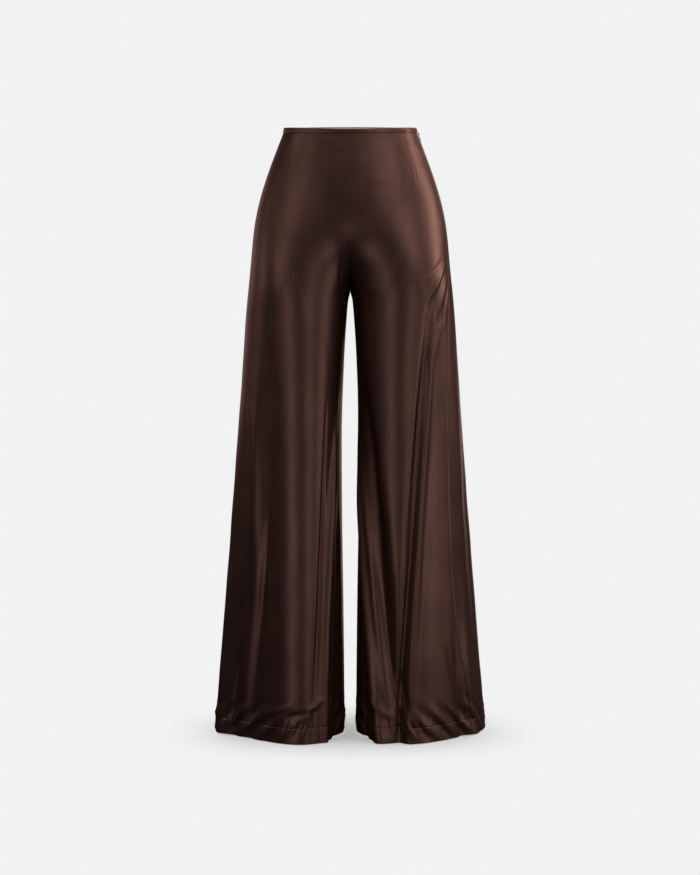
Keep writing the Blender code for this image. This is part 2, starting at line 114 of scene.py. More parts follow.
Leg = namedtuple(
    "Leg",
    "height inner outer front_x front_depth back_x back_depth inner_y outer_y square_in square_out",
)
LEG = [
    Leg(-0.100, 0.0000, 0.1600, 0.0900, 0.1090, 0.0850, 0.1190, -0.010, 0.000, 0.00, -0.02),
    Leg(-0.304, 0.0000, 0.1915, 0.0960, 0.1110, 0.0880, 0.1320, -0.010, 0.004, 0.00, 0.00),
    Leg(-0.320, 0.0036, 0.1932, 0.0960, 0.1108, 0.0885, 0.1312, -0.009, 0.004, 0.00, 0.00),
    Leg(-0.357, 0.0070, 0.1965, 0.0950, 0.1100, 0.0890, 0.1300, -0.007, 0.005, 0.00, 0.01),
    Leg(-0.432, 0.0115, 0.2015, 0.0930, 0.1080, 0.0900, 0.1270, -0.003, 0.006, 0.00, 0.02),
    Leg(-0.583, 0.0160, 0.2130, 0.0920, 0.1060, 0.0940, 0.1240, 0.002, 0.008, 0.01, 0.03),
    Leg(-0.733, 0.0152, 0.2245, 0.0920, 0.1070, 0.0980, 0.1230, 0.004, 0.010, 0.02, 0.05),
    Leg(-0.884, 0.0130, 0.2370, 0.0920, 0.1090, 0.1020, 0.1230, 0.005, 0.014, 0.04, 0.07),
    Leg(-1.034, 0.0115, 0.2495, 0.0920, 0.1130, 0.1070, 0.1240, 0.006, 0.018, 0.06, 0.09),
    Leg(-1.145, 0.0110, 0.2600, 0.0920, 0.1160, 0.1100, 0.1260, 0.006, 0.022, 0.08, 0.11),
]

SideSeam = namedtuple("SideSeam", "height right left")
SIDE_SEAM = [
    SideSeam(0.020, 182.0, 184.0),
    SideSeam(-0.100, 170.0, 169.0),
    SideSeam(-0.200, 160.0, 157.0),
    SideSeam(-0.304, 158.0, 153.0),
    SideSeam(-0.420, 153.0, 147.0),
    SideSeam(-0.540, 147.0, 141.0),
    SideSeam(-0.650, 142.0, 139.0),
    SideSeam(-0.790, 138.0, 138.0),
    SideSeam(-0.900, 140.0, 140.0),
    SideSeam(-1.010, 146.0, 146.0),
    SideSeam(-1.145, 152.0, 152.0),
]

Fold = namedtuple("Fold", "leg start top middle end bottom width depth hem")
FOLDS = [
    # The front of the wearer's right leg, from the inseam outwards.
    Fold("right", -0.620, 27, 29, -1.128, 32, 0.011, -0.0070, 1.0),
    Fold("right", -0.440, 24, 52, -1.128, 62, 0.007, 0.0095, 0.8),
    Fold("right", -0.330, 120, 120, -1.128, 116, 0.026, -0.0050, 0.6),
    Fold("right", -0.420, 138, 136, -0.950, 128, 0.010, 0.0035, 0.0),
    Fold("right", -0.800, 146, 146, -1.128, 147, 0.009, -0.0040, 1.0),
    Fold("right", -0.740, 168, 164, -1.128, 161, 0.014, 0.0080, 1.0),
    # The front of the wearer's left leg.
    Fold("left", -0.700, 24, 27, -1.128, 32, 0.011, -0.0070, 1.0),
    Fold("left", -0.440, 6, 32, -1.128, 68, 0.012, 0.0100, 1.0),
    Fold("left", -0.360, 18, 57, -1.128, 86, 0.020, -0.0150, 0.9),
    Fold("left", -0.270, 125, 102, -1.128, 89, 0.008, -0.0075, 0.8),
    Fold("left", -0.270, 133, 109, -1.128, 97, 0.008, 0.0060, 0.7),
    Fold("left", -0.860, 140, 140, -1.128, 143, 0.009, -0.0060, 1.0),
    Fold("left", -0.780, 154, 152, -1.128, 156, 0.010, 0.0050, 1.0),
    # The outer sides and the backs.
    Fold("right", -0.360, 214, 208, -1.128, 204, 0.022, -0.0080, 0.6),
    Fold("right", -0.280, 246, 240, -1.128, 236, 0.026, 0.0070, 0.6),
    Fold("right", -0.300, 276, 272, -1.128, 268, 0.026, -0.0080, 0.6),
    Fold("right", -0.420, 306, 300, -1.128, 296, 0.022, 0.0070, 0.6),
    Fold("left", -0.440, 172, 168, -1.128, 170, 0.018, -0.0045, 0.6),
    Fold("left", -0.400, 206, 202, -1.128, 200, 0.020, 0.0050, 0.6),
    Fold("left", -0.300, 232, 230, -1.128, 226, 0.026, -0.0085, 0.6),
    Fold("left", -0.280, 262, 262, -1.128, 262, 0.026, 0.0070, 0.6),
    Fold("left", -0.420, 292, 294, -1.128, 292, 0.022, -0.0075, 0.6),
]
FOLD_FADE = 0.30  # a fold grows out of the smooth cloth over this length
print(len(BODY), "body sections,", len(LEG), "leg sections,", len(FOLDS), "folds")

# %% [markdown]
# ## Reading the tables
#
# `read` draws a smooth curve through one column of a table, and averages it a little, because satin shows
# every kink. `ease_in` and `mix` are the two small tools that every blend below is made with. All of them
# work on whole arrays at once, because a panel has some 40,000 points.

# %% Small tools
HEIGHTS = np.linspace(-1.16, 0.03, 1200)
CALM_REACH = 0.030
CALM_TOP = -0.060
CALM_BOTTOM = -1.100
CALM_FADE = 0.06
curves = {}


def smooth_curve(table, column):
    """The named column at each of HEIGHTS, on a curve that never swings past the table's own values."""
    knots = np.array([row.height for row in reversed(table)])
    values = np.array([getattr(row, column) for row in reversed(table)])
    secants = np.diff(values) / np.diff(knots)
    before, after = np.pad(secants, (1, 0), "edge"), np.pad(secants, (0, 1), "edge")
    same_way = before * after > 0
    slopes = np.where(same_way, 2 * before * after / np.where(same_way, before + after, 1.0), 0.0)
    at = np.clip(HEIGHTS, knots[0], knots[-1])
    i = np.clip(np.searchsorted(knots, at) - 1, 0, len(knots) - 2)
    step = knots[i + 1] - knots[i]
    t = (at - knots[i]) / step
    ease = t * t * (3 - 2 * t)
    out = t * (1 - t) ** 2 * step * slopes[i]
    back = t * t * (1 - t) * step * slopes[i + 1]
    return values[i] * (1 - ease) + values[i + 1] * ease + out - back


def calmed(curve):
    """The curve averaged over CALM_REACH each way, but not at the waist and the hem, so no row shows."""
    count = round(CALM_REACH / (HEIGHTS[1] - HEIGHTS[0]))
    weights = np.bartlett(2 * count + 3)[1:-1]
    averaged = np.convolve(np.pad(curve, count, "edge"), weights / weights.sum(), "valid")
    inside = ease_in((CALM_TOP - HEIGHTS) / CALM_FADE) * ease_in((HEIGHTS - CALM_BOTTOM) / CALM_FADE)
    return mix(curve, averaged, inside)


def read(table, column, height):
    """One column of a table at any heights. The inseam's stays sharp where the legs part."""
    key = type(table[0]).__name__, column
    if key not in curves:
        curve = smooth_curve(table, column)
        curves[key] = curve if column == "inner" else calmed(curve)
    return np.interp(height, HEIGHTS, curves[key])


def ease_in(t):
    """From 0 to 1, level at both ends."""
    t = np.clip(t, 0.0, 1.0)
    return t * t * (3 - 2 * t)


def mix(a, b, share):
    return a + (b - a) * share


print("half the hip is", round(float(read(BODY, "half_width", -0.226)), 4), "m wide")

# %% [markdown]
# ## The smooth form
#
# Above the crotch the form is one round for the whole body. Below it there is a round for each leg.
# Between the two, every point slides from its place on the body's round to its place on the leg's, and
# the centre seams follow a curve of their own under the body.

# %% Sections
def body_section(angle, height):
    """A place on the body's round, which runs from the centre front to the centre back."""
    turn = angle / 2
    front = (1 + np.cos(turn)) / 2
    depth = mix(read(BODY, "back_depth", height), read(BODY, "front_depth", height), front)
    round_off = 1 - BODY_SQUARENESS * np.sin(2 * turn) ** 2
    x = read(BODY, "half_width", height) * np.sin(turn) * round_off
    return x, -depth * np.cos(turn) * round_off


def leg_section(angle, height):
    """A place on a leg's round, which runs from the inseam round the outer side to the inseam."""
    c = {column: read(LEG, column, height) for column in Leg._fields[1:]}
    front = (1 + np.sin(angle)) / 2
    outside = (1 - np.cos(angle)) / 2
    middle = (c["inner"] + c["outer"]) / 2
    half = (c["outer"] - c["inner"]) / 2
    skew = middle - mix(c["back_x"], c["front_x"], front)
    depth = mix(c["back_depth"], c["front_depth"], front)
    round_off = 1 - mix(c["square_in"], c["square_out"], outside) * np.sin(2 * angle) ** 2
    x = middle - half * np.cos(angle) * round_off - skew * np.sin(angle) ** 2
    side_y = mix(c["inner_y"], c["outer_y"], outside)
    return x, side_y * np.cos(angle) ** 2 - depth * np.sin(angle) * round_off


def from_centre(angle):
    turn = np.mod(angle, 2 * math.pi)
    return np.minimum(turn, 2 * math.pi - turn)


def smooth_form(angle, height):
    """A place between the two rounds, by how far the cloth has parted into legs at this height."""
    t = np.clip((RISE_CURVE_TOP - height) / (RISE_CURVE_TOP - CROTCH_HEIGHT), 0.0, 1.0)
    centre = 1 - (1 - t**RISE_CURVE) ** (1 / RISE_CURVE)
    thigh = ease_in((THIGH_TOP - height) / (THIGH_TOP - THIGH_BOTTOM))
    parted = mix(centre, thigh, np.sin(np.minimum(from_centre(angle) / CENTRE_REACH, 1) * math.pi / 2))
    body_x, body_y = body_section(angle, height)
    leg_x, leg_y = leg_section(angle, height)
    fullness = 1 + THIGH_FULLNESS * 4 * parted * (1 - parted)
    return mix(body_x, leg_x, parted), mix(body_y, leg_y, parted) * fullness


def side_seam(leg, height):
    return np.radians(read(SIDE_SEAM, leg, height))


def dart_angle(leg, height, side):
    seam = side_seam(leg, height)
    share = DART_SHARE[side]
    return seam * share if side == "front" else 2 * math.pi - (2 * math.pi - seam) * share


def round_speed(angle, height):
    """Metres of cloth for each radian round the form."""
    x0, y0 = smooth_form(angle - SLOPE_STEP, height)
    x1, y1 = smooth_form(angle + SLOPE_STEP, height)
    return np.hypot(x1 - x0, y1 - y0) / (2 * SLOPE_STEP)


knee = float(round_speed(np.linspace(0, 2 * math.pi, 361)[1:], -0.65).mean()) * 2 * math.pi
print("a leg is", round(knee, 3), "m round at the knee, before its folds")

# %% [markdown]
# ## Creases and puckers
#
# The frame has only the large folds. The table below adds the small ones that the eye reads as satin:
# drag lines under the waist, the fan of puckers where the zip ends, the pinches at the inseam and the
# ripples above the hem. Each `Crease` is a short soft ridge or trough between two places on the cloth.
#
# A hem also has a row of small ripples, because the thread draws the cloth in a little. They are waves
# that lean, change their spacing and come and go, so no two are alike.

# %% Creases
Crease = namedtuple("Crease", "leg angle_a height_a angle_b height_b width depth")
CREASES = [
    # Drag lines across the front, under the waist.
    Crease("right", 4, -0.040, 62, -0.034, 0.0030, 0.00035),
    Crease("right", 0, -0.062, 50, -0.054, 0.0050, -0.0005),
    Crease("right", 30, -0.102, 74, -0.094, 0.0050, 0.0004),
    Crease("right", 56, -0.030, 86, -0.048, 0.0026, 0.0007),
    Crease("right", 60, -0.044, 84, -0.064, 0.0024, -0.0006),
    Crease("left", 4, -0.038, 58, -0.032, 0.0030, 0.00035),
    Crease("left", 8, -0.064, 60, -0.056, 0.0050, -0.0005),
    Crease("left", 44, -0.028, 84, -0.044, 0.0028, 0.0007),
    Crease("left", 52, -0.050, 88, -0.066, 0.0030, -0.0006),
    Crease("left", 20, -0.112, 64, -0.106, 0.0060, 0.0004),
    Crease("left", 100, -0.030, 150, -0.060, 0.0050, 0.0007),
    Crease("right", 100, -0.034, 150, -0.066, 0.0050, 0.0007),
    # The fan where the zip ends, on the wearer's left.
    Crease("left", 148, -0.252, 112, -0.330, 0.0045, 0.0018),
    Crease("left", 144, -0.262, 120, -0.345, 0.0035, -0.0016),
    Crease("left", 148, -0.275, 128, -0.360, 0.0030, 0.0015),
    Crease("left", 150, -0.290, 134, -0.375, 0.0030, -0.0014),
    Crease("left", 150, -0.300, 140, -0.385, 0.0025, 0.0012),
    Crease("left", 140, -0.245, 104, -0.300, 0.0060, -0.0014),
    Crease("left", 140, -0.330, 126, -0.440, 0.0040, 0.0014),
    # Where the legs part.
    Crease("right", 14, -0.236, 30, -0.330, 0.0050, -0.0024),
    Crease("right", 22, -0.270, 26, -0.350, 0.0035, 0.0016),
    Crease("right", 10, -0.300, 24, -0.372, 0.0030, -0.0014),
    Crease("right", 16, -0.350, 26, -0.420, 0.0035, 0.0014),
    Crease("right", 8, -0.330, 20, -0.400, 0.0030, -0.0012),
    Crease("left", 12, -0.270, 34, -0.400, 0.0070, -0.0022),
    Crease("left", 6, -0.320, 22, -0.460, 0.0050, 0.0014),
    # Long sharp lines beside the large folds.
    Crease("left", 20, -0.580, 106, -1.300, 0.0080, 0.0038),
    Crease("left", 117, -0.430, 83, -1.180, 0.0040, -0.0042),
    Crease("right", 54, -0.500, 80.5, -1.180, 0.0040, -0.0045),
    Crease("right", 120, -0.700, 137, -1.260, 0.0130, -0.0070),
    # Beside the hem.
    Crease("right", 30, -1.040, 44, -1.085, 0.0050, -0.0024),
    Crease("right", 44, -1.050, 58, -1.092, 0.0040, 0.0024),
    Crease("right", 64, -1.050, 92, -1.092, 0.0060, 0.0022),
    Crease("right", 72, -1.072, 104, -1.088, 0.0050, -0.0020),
    Crease("right", 96, -1.060, 122, -1.090, 0.0060, 0.0018),
    Crease("right", 146, -1.000, 152, -1.090, 0.0050, 0.0020),
    Crease("right", 154, -1.050, 164, -1.092, 0.0040, -0.0018),
    Crease("left", 90, -1.000, 98, -1.092, 0.0040, -0.0040),
    Crease("left", 84, -1.030, 92, -1.090, 0.0045, 0.0026),
    Crease("left", 54, -1.050, 82, -1.092, 0.0060, 0.0024),
    Crease("left", 44, -1.060, 66, -1.094, 0.0040, -0.0018),
    Crease("left", 130, -0.960, 142, -1.090, 0.0050, -0.0024),
    Crease("left", 146, -0.980, 152, -1.090, 0.0050, 0.0024),
    # The seat and the backs of the legs.
    Crease("right", 352, -0.232, 316, -0.290, 0.0080, 0.0018),
    Crease("right", 348, -0.270, 308, -0.350, 0.0080, -0.0020),
    Crease("right", 344, -0.320, 312, -0.420, 0.0060, 0.0018),
    Crease("left", 350, -0.222, 312, -0.276, 0.0080, 0.0018),
    Crease("left", 350, -0.262, 304, -0.330, 0.0090, -0.0022),
    Crease("left", 346, -0.330, 316, -0.440, 0.0060, 0.0020),
    Crease("right", 236, -0.030, 280, -0.050, 0.0040, 0.0008),
    Crease("left", 232, -0.034, 284, -0.052, 0.0040, 0.0008),
    Crease("right", 330, -0.060, 290, -0.072, 0.0060, -0.0008),
    Crease("left", 328, -0.064, 288, -0.080, 0.0060, -0.0008),
    Crease("right", 196, -0.180, 236, -0.260, 0.0080, 0.0012),
    Crease("left", 192, -0.200, 238, -0.290, 0.0080, 0.0014),
    Crease("right", 258, -1.040, 288, -1.090, 0.0060, 0.0022),
    Crease("right", 210, -1.030, 226, -1.090, 0.0050, -0.0024),
    Crease("left", 226, -1.040, 248, -1.090, 0.0060, -0.0022),
    Crease("left", 280, -1.030, 300, -1.090, 0.0050, 0.0024),
]
Ripple = namedtuple("Ripple", "spacing lean spread depth phase")
HEM_STITCH_ROW = HEM_HEIGHT + HEM_DEPTH - 0.0015
STITCH_GROOVE = 0.0004
RIPPLES = [
    Ripple(0.0115, 0.35, 0.012, 0.00095, 0.3),
    Ripple(0.0075, -0.20, 0.009, 0.00065, 1.7),
    Ripple(0.0172, 0.60, 0.018, 0.00115, 2.9),
    Ripple(0.0340, 0.85, 0.030, 0.00180, 0.9),
]
Sway = namedtuple("Sway", "round_it down depth phase")
SWAYS = [  # broad soft waves over the whole cloth: their length round it and down it
    Sway(0.110, 0.420, 0.00022, 0.4),
    Sway(0.072, -0.260, 0.00010, 2.2),
    Sway(0.163, 0.150, 0.00030, 1.1),
    Sway(0.051, 0.330, 0.00005, 5.0),
    Sway(-0.190, 0.094, 0.00022, 3.6),
]
SWAY_TOP = -0.26  # above this the cloth is drawn smooth over the hips
SWAY_FADE = 0.35  # down the cloth in metres, and from the centre in radians
HEM_RADIUS = 0.12  # turns an angle into a length round the hem
HALF_ROUND = 0.30  # about the cloth's length from the centre to the outer side
DRIFT = 0.004  # how far a ripple strays from its even spacing
TUG_SPACING = 0.0072  # of the dimples along the groove
GROOVE_WIDTH = 0.0013
print(len(CREASES), "creases,", len(RIPPLES), "waves in the hem's ripples and", len(SWAYS), "broad waves")


def crease_rise(leg, angle, height):
    rise = np.zeros(np.broadcast(angle, height).shape)
    for c in CREASES:
        if c.leg != leg:
            continue
        a, b = math.radians(c.angle_a), math.radians(c.angle_b)
        middle = (c.height_a + c.height_b) / 2
        speed = float(round_speed(np.array((a + b) / 2), np.array(middle)))
        along = Vector(((b - a) * speed, c.height_b - c.height_a))
        length = along.length
        u, v = (angle - a) * speed, height - c.height_a
        s = (u * along.x + v * along.y) / length**2
        d = (u * along.y - v * along.x) / length
        taper = np.clip(4 * s * (1 - s), 0.0, 1.0)
        width = c.width * (0.6 + 0.8 * np.clip(s, 0, 1))
        rise = rise + c.depth * taper * np.exp(-((d / width) ** 2))
    return rise


def ripple_rise(leg, angle, height):
    """The small ripples above and below the hem's stitches, and the groove that the stitches pull."""
    along = angle * HEM_RADIUS
    up = height - (HEM_HEIGHT + HEM_DEPTH)
    rise = np.zeros(np.broadcast(angle, height).shape)
    side = 0.0 if leg == "right" else 2.1
    for r in RIPPLES:
        drift = DRIFT * np.sin(along * 31 + r.phase + side)
        wave = np.sin(2 * math.pi * (along + r.lean * up + drift) / r.spacing + r.phase + side)
        come_and_go = 0.5 + 0.5 * np.sin(along * 47 / (1 + r.phase) + side * 3 + r.phase)
        rise = rise + r.depth * wave * come_and_go * np.exp(-((up / r.spread) ** 2))
    tug = 1 + 0.5 * np.sin(2 * math.pi * along / TUG_SPACING + 2 * np.sin(along * 40))
    return rise - STITCH_GROOVE * tug * np.exp(-(((height - HEM_STITCH_ROW) / GROOVE_WIDTH) ** 2))


def sway_rise(leg, angle, height):
    """Broad waves, less than a millimetre deep, that keep a long highlight from being perfectly straight."""
    rise = np.zeros(np.broadcast(angle, height).shape)
    along = np.sin(angle / 2) * HALF_ROUND
    away = from_centre(angle)
    side = 0.0 if leg == "right" else 1.9
    for s in SWAYS:
        bend = 0.8 * np.sin(height * 9 + s.phase)
        turn = 2 * math.pi * (along / s.round_it + height / s.down)
        rise = rise + s.depth * np.sin(turn + s.phase + side + bend)
    lower = ease_in((SWAY_TOP - height) / SWAY_FADE)
    return rise * ease_in(away / SWAY_FADE) * mix(0.15, 0.6, lower)


# %% [markdown]
# ## A point on the cloth
#
# `cloth_point` gives a point at any distance out of the cloth. It adds the folds and creases to the
# smooth form, along the direction straight out of it, then mirrors the right leg.

# %% The folded form
def fold_course(fold):
    """The fold's angle, how many of its widths one radian is, and its depth, at each of HEIGHTS."""
    t = np.clip((fold.start - HEIGHTS) / (fold.start - fold.end), 0.0, 1.0)
    upper = fold.top * (1 - t) * (1 - 2 * t)
    line = np.radians(upper + fold.middle * 4 * t * (1 - t) + fold.bottom * t * (2 * t - 1))
    strength = ease_in((fold.start - HEIGHTS) / FOLD_FADE) * mix(1.0, fold.hem, ease_in(2 * t - 1))
    return line, round_speed(line, HEIGHTS) / (fold.width * (0.75 + 0.5 * t)), fold.depth * strength


def dart_course(leg, side):
    line = dart_angle(leg, HEIGHTS, side)
    depth = DART_RIDGE * ease_in(1 + HEIGHTS / DART_LENGTH)
    return line, round_speed(line, HEIGHTS) / DART_SPREAD, depth


fold_courses = {leg: [fold_course(fold) for fold in FOLDS if fold.leg == leg] for leg in ("right", "left")}
dart_courses = {leg: [dart_course(leg, side) for side in DART_SHARE] for leg in ("right", "left")}


def fold_rise(leg, angle, height):
    rise = np.zeros(np.broadcast(angle, height).shape)
    for course in fold_courses[leg]:
        line, narrowness, depth = (np.interp(height, HEIGHTS, column) for column in course)
        away = (np.mod(angle - line + math.pi, 2 * math.pi) - math.pi) * narrowness
        rise = rise + depth * np.exp(-away * away)
    for course in dart_courses[leg]:
        line, narrowness, depth = (np.interp(height, HEIGHTS, column) for column in course)
        rise = rise + depth * np.exp(-np.abs(angle - line) * narrowness)
    return rise


def row_height(angle, row):
    """The height of a row of the cloth, which tilts at the waist and dips at the hem."""
    tilt = WAIST_TILT * np.cos(angle / 2) * np.clip(1 + row / TILT_REACH, 0.0, 1.0) ** 2
    dip = HEM_DIP * (1 + np.sin(angle)) / 2 * ease_in((HEM_HEIGHT + HEM_DIP_REACH - row) / HEM_DIP_REACH)
    return row - tilt - dip


def folded_form(leg, angle, row):
    height = row_height(angle, row)
    x, y = smooth_form(angle, height)
    x0, y0 = smooth_form(angle - SLOPE_STEP, height)
    x1, y1 = smooth_form(angle + SLOPE_STEP, height)
    across = np.hypot(x1 - x0, y1 - y0)
    rise = fold_rise(leg, angle, height) + crease_rise(leg, angle, height) + ripple_rise(leg, angle, row)
    rise = rise + sway_rise(leg, angle, height)
    return x + (y1 - y0) / across * rise + SEAM_GAP / 2, y - (x1 - x0) / across * rise, height


def directions(leg, angle, row):
    """The directions straight out of the cloth and up it. On a centre seam both stay in the middle plane."""
    up = np.array(folded_form(leg, angle, row + SLOPE_STEP)) - folded_form(leg, angle, row - SLOPE_STEP)
    on = np.array(folded_form(leg, angle + SLOPE_STEP, row)) - folded_form(leg, angle - SLOPE_STEP, row)
    out = np.cross(on, up, axis=0)
    centre = from_centre(angle) < math.radians(1)
    for way in (out, up):
        way[0] = np.where(centre & (row > CROTCH_HEIGHT + SEAM_GAP), 0.0, way[0])
    return out / np.linalg.norm(out, axis=0), up / np.linalg.norm(up, axis=0)


def cloth_point(leg, angle, row, out=0.0, rise=0.0):
    """A point at a distance out of the cloth and up it. The right leg is mirrored."""
    angle = np.asarray(angle, float)
    row = np.asarray(row, float)
    outward, upward = directions(leg, angle, row)
    point = np.array(folded_form(leg, angle, row)) + outward * out + upward * rise
    if leg == "right":
        point[0] = -point[0]
    return point


def panel_angle(leg, side, share, row):
    """The angle at a share of the panel's width, from its centre seam to its side seam, less the gaps."""
    height = row_height(math.pi, row)
    seam = side_seam(leg, height)
    clear_side = SEAM_GAP / 2 / round_speed(seam, height)
    clear_inner = np.where(row <= CROTCH_HEIGHT, SEAM_GAP / 2 / round_speed(0.0, height), 0.0)
    if side == "front":
        return mix(clear_inner, seam - clear_side, share)
    return mix(2 * math.pi - clear_inner, seam + clear_side, share)


waist = cloth_point("left", np.linspace(0, 2 * math.pi, 181), np.zeros(181))
print("half the waist is", round(float(np.linalg.norm(np.diff(waist), axis=0).sum()), 4), "m of cloth")

# %% [markdown]
# ## Colours and nodes
#
# Every colour is written as it looks on a screen, and `linear` turns it into the linear numbers that the
# shader wants. `add_node` adds a node with its settings and its links, and `new_material` starts each
# finish from the Principled shader.

# %% Colours and nodes
def linear(hex_colour):
    values = [int(hex_colour[i : i + 2], 16) / 255 for i in (1, 3, 5)]
    return tuple(v / 12.92 if v <= 0.04045 else ((v + 0.055) / 1.055) ** 2.4 for v in values) + (1.0,)


def add_node(tree, kind, values=None, **settings):
    """A node with its settings, its sockets' values, and links from any socket given as a value."""
    node = tree.nodes.new(kind)
    for name, value in settings.items():
        setattr(node, name, value)
    for name, value in (values or {}).items():
        if isinstance(value, bpy.types.NodeSocket):
            tree.links.new(value, node.inputs[name])
        else:
            node.inputs[name].default_value = value
    return node


def new_material(name, values):
    material = bpy.data.materials.new(name)
    material.use_nodes = True
    tree = material.node_tree
    shader = tree.nodes["Principled BSDF"]
    for socket, value in values.items():
        shader.inputs[socket].default_value = value
    return material, tree, shader


print("the brown #62453d in linear numbers is", [round(value, 4) for value in linear("#62453d")[:3]])

# %% [markdown]
# ## The satin
#
# Satin is a weave with long threads lying side by side on its face. Light spreads across them into broad
# soft bands, so the face is a tinted gloss that is a little rough. Fine streaks run down the warp, and
# the cloth is a little uneven in colour. The back of the cloth is duller.

# %% The satin
# A satin's threads are about 0.1 mm apart, too fine to show, so the streaks are drawn 0.6 mm wide and
# 18 mm long.
STREAKS_PER_METRE = (1600.0, 55.0, 1.0)
PATCHES_PER_METRE = (60.0, 9.0, 1.0)  # uneven dye, in patches 17 mm by 111 mm


def satin_material(name, colours, roughness, streak, values):
    """Woven satin: streaks along the warp in the colour, the roughness and the bump."""
    material, tree, shader = new_material(name, values)
    uv = add_node(tree, "ShaderNodeUVMap", uv_map="cloth")
    warp = add_node(tree, "ShaderNodeMapping", {"Vector": uv.outputs["UV"], "Scale": STREAKS_PER_METRE})
    threads = add_node(
        tree,
        "ShaderNodeTexNoise",
        {"Vector": warp.outputs["Vector"], "Scale": 1.0, "Detail": 3.0},
        noise_dimensions="2D",
    )
    broad = add_node(tree, "ShaderNodeMapping", {"Vector": uv.outputs["UV"], "Scale": PATCHES_PER_METRE})
    patches = add_node(
        tree,
        "ShaderNodeTexNoise",
        {"Vector": broad.outputs["Vector"], "Scale": 1.0, "Detail": 2.0},
        noise_dimensions="2D",
    )
    both = add_node(
        tree,
        "ShaderNodeMath",
        {0: threads.outputs["Fac"], 1: 0.6, 2: patches.outputs["Fac"]},
        operation="MULTIPLY_ADD",
    )
    ramp = add_node(tree, "ShaderNodeMapRange", {"Value": both.outputs[0], "From Min": 0.5, "From Max": 1.1})
    colour = add_node(
        tree,
        "ShaderNodeMix",
        {"Factor": ramp.outputs["Result"], "A": linear(colours[0]), "B": linear(colours[1])},
        data_type="RGBA",
    )
    tree.links.new(colour.outputs["Result"], shader.inputs["Base Color"])
    rough = add_node(
        tree,
        "ShaderNodeMapRange",
        {"Value": threads.outputs["Fac"], "To Min": roughness[0], "To Max": roughness[1]},
    )
    tree.links.new(rough.outputs["Result"], shader.inputs["Roughness"])
    bump = add_node(
        tree,
        "ShaderNodeBump",
        {"Height": threads.outputs["Fac"], "Strength": streak, "Distance": 0.0002},
    )
    tree.links.new(bump.outputs["Normal"], shader.inputs["Normal"])
    return material


# The face: long smooth threads shine in broad bands tinted by their dye.
satin_face = satin_material(
    "satin_face",
    ("#62453d", "#6c4d45"),
    (0.37, 0.45),
    0.20,
    {"Metallic": 0.8, "Specular Tint": linear("#8c695f")},
)
# The reverse: short crossing threads scatter the light, so it is duller and darker.
satin_back = satin_material(
    "satin_reverse",
    ("#3d2822", "#4a332c"),
    (0.62, 0.75),
    0.35,
    {"Specular IOR Level": 0.4, "IOR": 1.5},
)
print("materials", [m.name for m in bpy.data.materials if m.name.startswith("satin")])

# %% [markdown]
# ## Panels
#
# A panel starts as a flat grid. Its columns crowd together beside the seams and the dart, and its rows
# beside the waist and the hem's stitches, because that is where cloth bends most sharply. Each point is
# then moved to its place on the form. At every seam but the centre ones the edge rolls inwards, which
# leaves the fine dark line of a sewn seam.

# %% Spacing
def crowded(count, centres, near):
    """Numbers from 0 to 1, evenly spread, with extra ones beside each centre."""
    numbers = set(np.linspace(0, 1, count + 1).round(6))
    for centre in centres:
        numbers |= {round(centre + sign * step, 6) for step in near for sign in (-1, 1)}
    return np.array(sorted(n for n in numbers if 0 <= n <= 1))


def panel_rows(count):
    body = np.linspace(0.0, HEM_HEIGHT, count + 1)
    near_top = -BINDING_DEPTH - np.array([-0.001, 0.0, 0.001, 0.0022])
    near_hem = HEM_STITCH_ROW + np.array([-0.0024, -0.0014, -0.0007, 0.0, 0.0007, 0.0014, 0.0024])
    crotch = CROTCH_HEIGHT - np.array([-0.0022, -0.001, 0.0, 0.001, 0.0022])
    rows = set(np.concatenate([body, near_top, near_hem, crotch]).round(6))
    return np.array(sorted(rows, reverse=True))


def seam_roll(distance, depth=0.0006, width=0.0012):
    """How far an edge has rolled in at this distance from its seam."""
    return depth * np.exp(-((distance / width) ** 2))


print("three steps, crowded at both ends:", crowded(3, (0.0, 1.0), (0.05,)))

# %% [markdown]
# `grid_piece` makes the flat grid and moves its points. `finish` turns the bmesh into an object, and
# `thicken` gives it a thickness with a Solidify modifier, and even shading with a Weighted Normal one. The
# rim is marked sharp, so the thin edge that Solidify adds there doesn't bend the shading of the face, and
# two panels meet without a dark line. The pattern of a cloth follows its own UV map, in metres.

# %% From a grid to a piece
def grid_piece(columns, rows, place, turn_over):
    """A sheet whose points are place(column, row), with each point's column and row number."""
    bm = bmesh.new()
    bmesh.ops.create_grid(bm, x_segments=len(columns) - 1, y_segments=len(rows) - 1, size=0.5)
    grid = np.array([v.co for v in bm.verts])
    i = np.rint((grid[:, 0] + 0.5) * (len(columns) - 1)).astype(int)
    j = np.rint((grid[:, 1] + 0.5) * (len(rows) - 1)).astype(int)
    points = place(np.asarray(columns)[i], np.asarray(rows)[j]).T
    for vert, point in zip(bm.verts, points):
        vert.co = point
    if turn_over:
        bmesh.ops.reverse_faces(bm, faces=bm.faces)
    for edge in bm.edges:
        edge.smooth = not edge.is_boundary
    return bm, i, j


def set_uv(mesh, across, down):
    """Gives each corner its distance round and down the cloth, in metres."""
    layer = mesh.uv_layers.new(name="cloth")
    corner = np.empty(len(mesh.loops), np.int32)
    mesh.loops.foreach_get("vertex_index", corner)
    layer.data.foreach_set("uv", np.stack([across[corner], down[corner]], 1).ravel())


def finish(name, bm, materials, ways=None):
    """The bmesh as an object, smoothly shaded, with its materials and, on cloth, its ways across and down."""
    mesh = bpy.data.meshes.new(name)
    bm.to_mesh(mesh)
    bm.free()
    for material in materials:
        mesh.materials.append(material)
    mesh.shade_smooth()
    if ways is not None:
        set_uv(mesh, *ways)
    obj = bpy.data.objects.new(name, mesh)
    bpy.context.scene.collection.objects.link(obj)
    return obj


